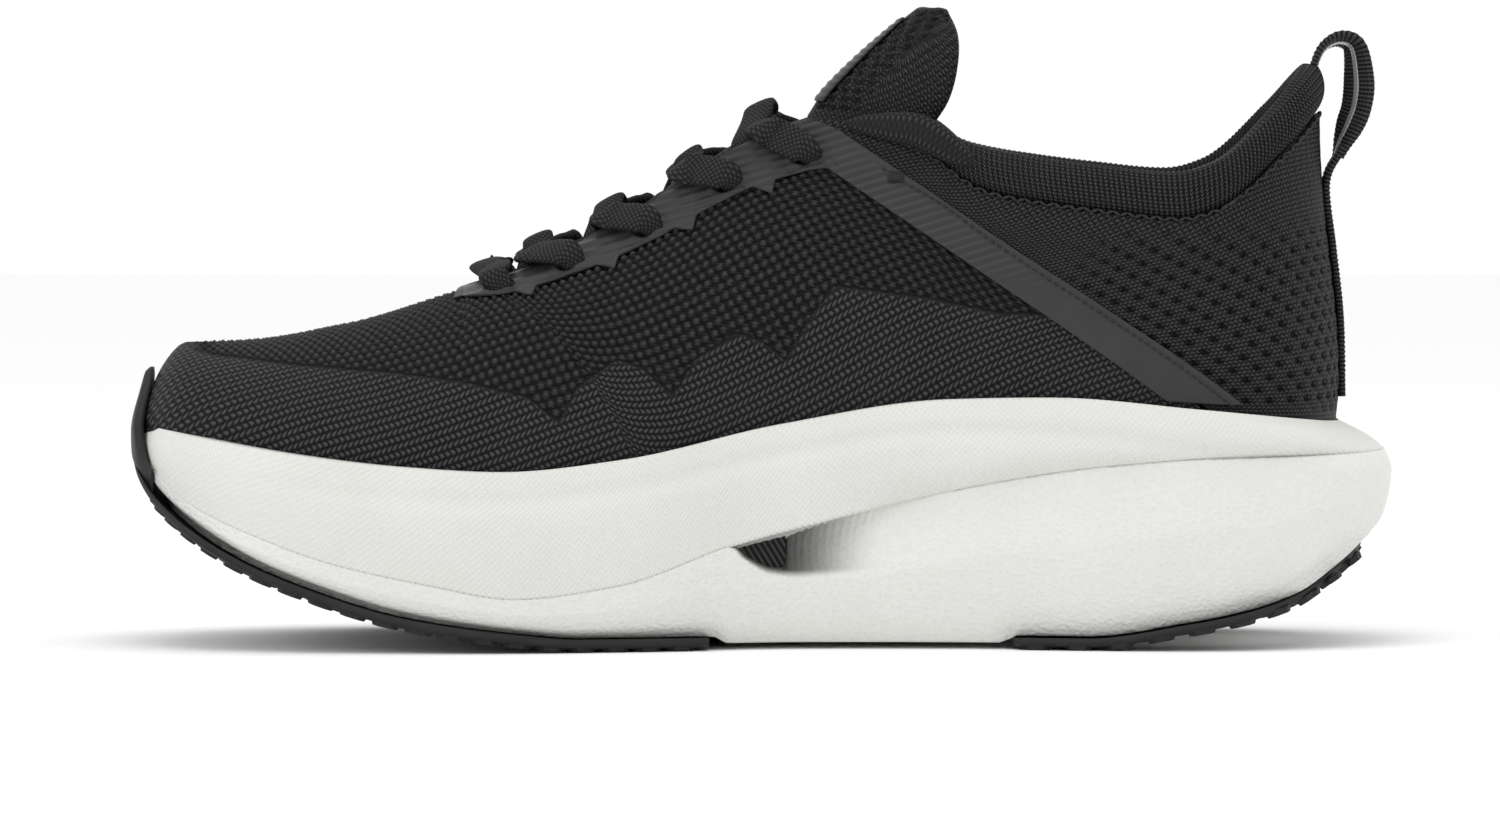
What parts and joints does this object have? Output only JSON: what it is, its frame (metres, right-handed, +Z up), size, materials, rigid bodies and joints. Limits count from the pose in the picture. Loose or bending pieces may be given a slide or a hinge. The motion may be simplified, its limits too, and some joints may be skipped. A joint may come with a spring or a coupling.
{
  "type": "running shoe",
  "caption": "Thick-soled road running shoe for the right foot: two-layer foam with a plate, mesh upper, knitted heel and collar, laces and a heel pull loop.",
  "frame": {"origin": "bottom centre of the shoe's box, on the ground it stands on", "axes": "+X from toe to heel, +Y from the arch side to the outer side, +Z up"},
  "size_m": [0.3, 0.1136, 0.1514],
  "materials": {
    "mesh_fabric": "engineered mesh, near black, matt",
    "knit_fabric": "fine knit with small pointelle holes, near black",
    "ribbed_knit": "ribbed knit collar, near black",
    "film_overlay": "thin bonded film with a printed rib, charcoal",
    "lace_cord": "flat woven lace, charcoal",
    "lace_tip": "clear-coated black tip",
    "webbing": "woven webbing, black",
    "reflective": "silver reflective yarn",
    "foam_white": "off-white foam with a moulded texture",
    "rubber_black": "black rubber, satin",
    "carbon_plate": "carbon fibre in resin, dark",
    "insole_foam": "fabric-faced foam, dark grey",
    "board": "sewn-in fibre board, undyed",
    "stiffener": "thin thermoplastic stiffener",
    "lining": "soft lining over collar foam, near black"
  },
  "bodies": {
    "shoe": {"outsole_forefoot": "rubber_black", "outsole_heel": "rubber_black", "midsole_lower_foam": "foam_white", "midsole_upper_foam": "foam_white", "carbon_plate": "carbon_plate", "strobel_board": "board", "insole": "insole_foam", "upper_toe": "mesh_fabric", "quarter_medial": "mesh_fabric", "quarter_lateral": "mesh_fabric", "heel_knit": "knit_fabric", "collar_cuff": "ribbed_knit", "toe_puff": "stiffener", "heel_counter": "stiffener", "collar_pad_medial": "lining", "collar_pad_lateral": "lining", "heel_lining": "lining", "eyestay_medial": "film_overlay", "eyestay_lateral": "film_overlay", "saddle_strap_medial": "film_overlay", "saddle_strap_lateral": "film_overlay", "tongue_panel": "knit_fabric", "heel_tape": "webbing", "lace": "lace_cord", "aglet_a": "lace_tip", "aglet_b": "lace_tip"},
    "tongue_tip": {"tongue_tab": "ribbed_knit", "tongue_strip": "film_overlay"},
    "heel_loop": {"pull_loop": "webbing", "loop_stripe": "reflective"}
  },
  "joints": [
    {"name": "tongue_flex", "type": "hinge", "parent": "shoe", "child": "tongue_tip", "pos_m": [0.0095, -0.0015, 0.125], "axis": [0, 1, 0], "range_deg": [-24, 0], "stiffness_Nm_per_rad": 0.06},
    {"name": "loop_swing", "type": "hinge", "parent": "shoe", "child": "heel_loop", "pos_m": [0.1386, 0.0015, 0.12], "axis": [-0.3625, 0, 0.932], "range_deg": [-30, 30], "stiffness_Nm_per_rad": 0.004}
  ]
}
